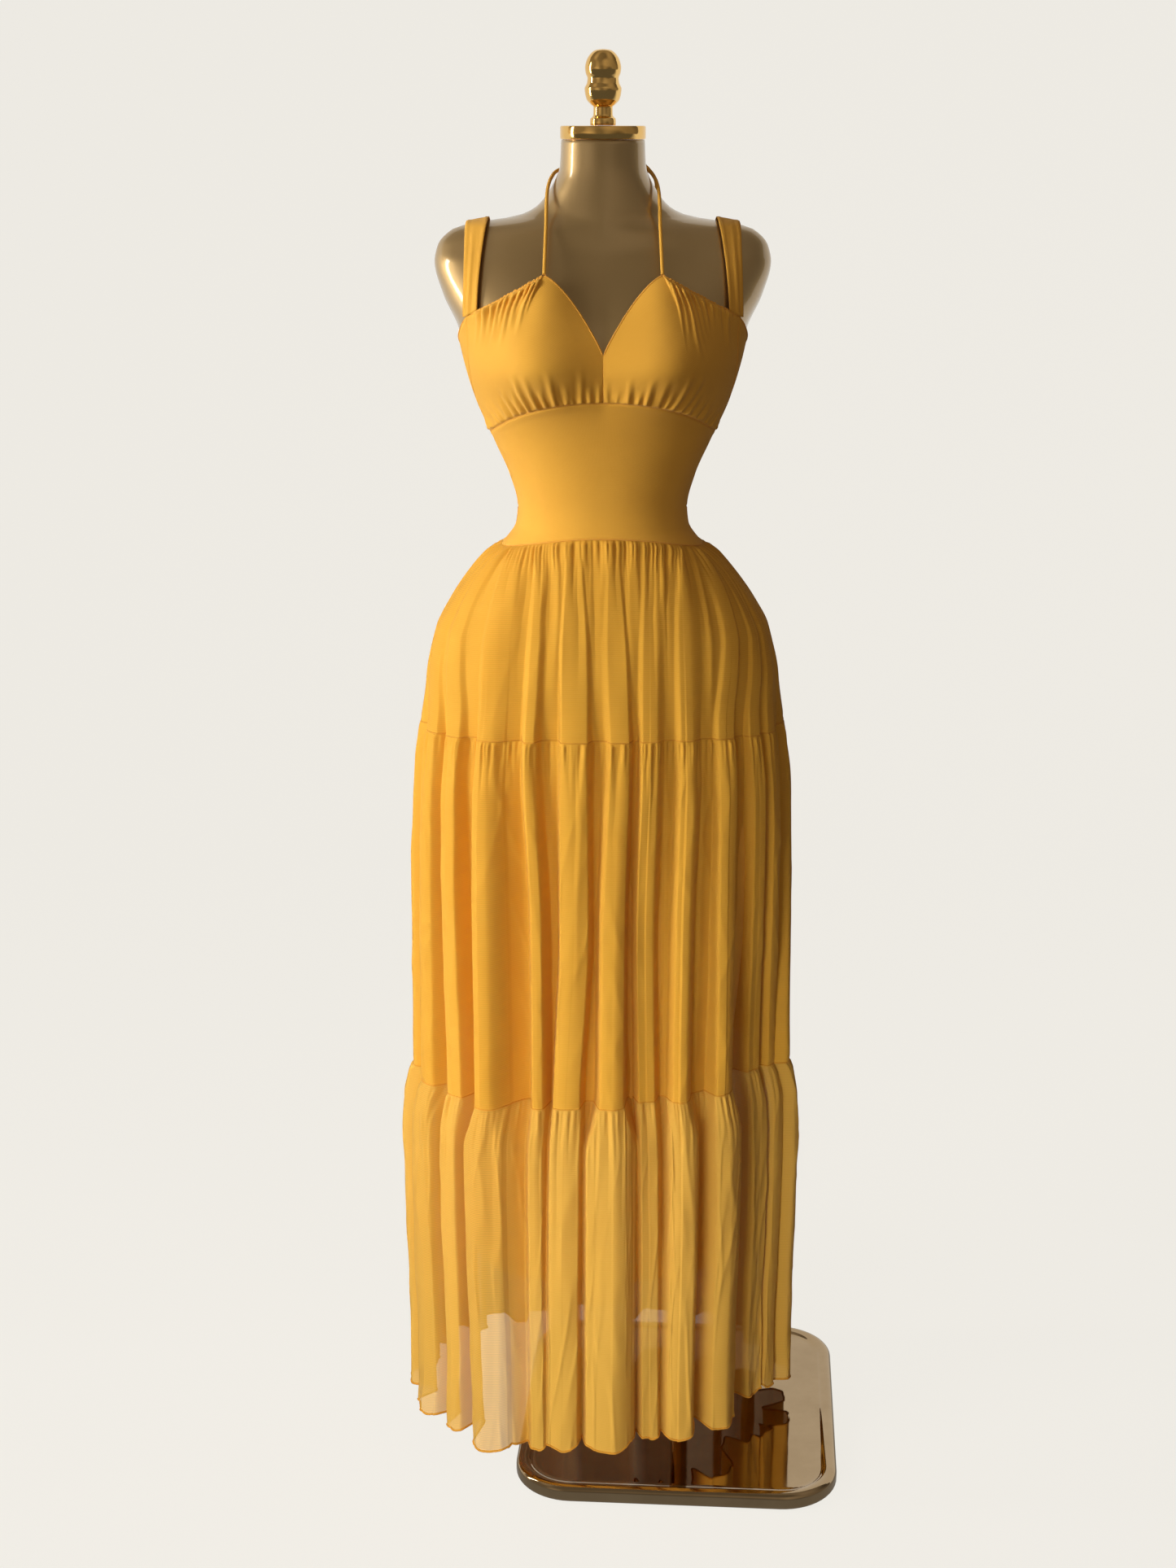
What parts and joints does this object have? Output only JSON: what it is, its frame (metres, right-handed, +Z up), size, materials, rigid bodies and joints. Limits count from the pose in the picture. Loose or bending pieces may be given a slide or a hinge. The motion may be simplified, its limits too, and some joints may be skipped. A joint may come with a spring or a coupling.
{
  "type": "halter dress on dress form",
  "caption": "Tiered sleeveless maxi dress with gathered cups, halter ties and shoulder straps, on a limbless dress form with a pole and base plate.",
  "frame": {"origin": "on the floor, on the base plate's underside, straight under the neck", "axes": "+Z up along the neck axis, -Y out of the front, +X to the right as seen from the front"},
  "size_m": [0.5433, 0.4366, 1.678],
  "materials": {
    "cloth_jersey": "matte fine stretch jersey, mustard yellow",
    "cloth_mesh": "fine semi-sheer mesh, mustard yellow",
    "cloth_lining": "matte lining jersey, mustard yellow",
    "form_paint": "glossy bronze-gold metallic paint",
    "gold_metal": "polished gold plating",
    "bronze_metal": "mirror-polished bronze plating"
  },
  "bodies": {
    "root": {"form_torso": "form_paint", "neck_cap": "gold_metal", "finial": "gold_metal", "base_plate": "bronze_metal", "pole_flange": "bronze_metal", "pole": "bronze_metal", "pole_socket": "bronze_metal", "cup_left": "cloth_jersey", "cup_right": "cloth_jersey", "midriff_front": "cloth_jersey", "bodice_back": "cloth_jersey", "shoulder_strap_left": "cloth_jersey", "shoulder_strap_right": "cloth_jersey", "halter_tie_left": "cloth_jersey", "halter_tie_right": "cloth_jersey", "tie_tail_left": "cloth_jersey", "tie_tail_right": "cloth_jersey", "halter_knot": "cloth_jersey", "tier1_front": "cloth_mesh", "tier1_back": "cloth_mesh", "tier2_front": "cloth_mesh", "tier2_back": "cloth_mesh", "tier3_front": "cloth_mesh", "tier3_back": "cloth_mesh", "lining_front": "cloth_lining", "lining_back": "cloth_lining"}
  },
  "joints": []
}
